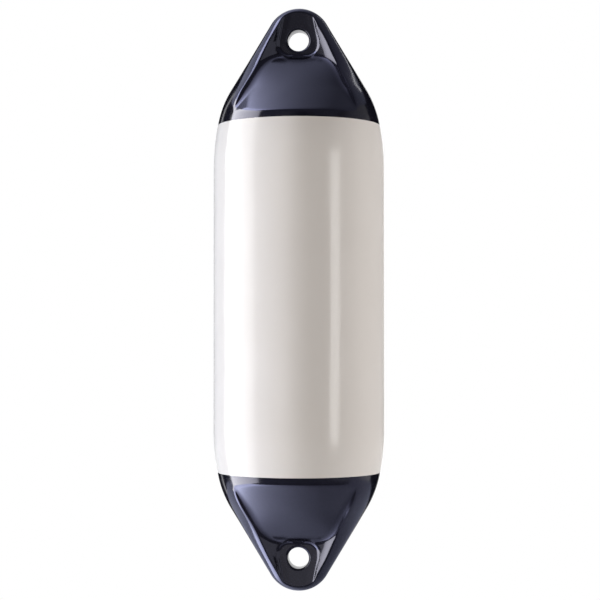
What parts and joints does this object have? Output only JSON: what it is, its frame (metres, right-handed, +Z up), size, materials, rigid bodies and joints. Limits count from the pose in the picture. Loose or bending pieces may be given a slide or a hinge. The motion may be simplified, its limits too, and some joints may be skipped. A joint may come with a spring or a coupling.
{
  "type": "boat fender",
  "caption": "Inflatable boat fender: white vinyl barrel between navy ribbed ends, each with a rope eye through a flat lug; screw valve on the back of the upper end.",
  "frame": {"origin": "middle of the upper rope eye, halfway through its lug", "axes": "+Z up along the barrel from the lower eye to the upper eye, +Y along both eyes towards the side with the valve, -Y towards the front"},
  "size_m": [0.218, 0.218, 0.7444],
  "materials": {
    "white_vinyl": "gloss",
    "navy_vinyl": "gloss",
    "black_plastic": "satin",
    "grey_plastic": "satin"
  },
  "bodies": {
    "root": {"body": "white_vinyl", "upper_end": "navy_vinyl", "lower_end": "navy_vinyl", "valve_seat": "black_plastic", "valve_plug": "grey_plastic"}
  },
  "joints": []
}
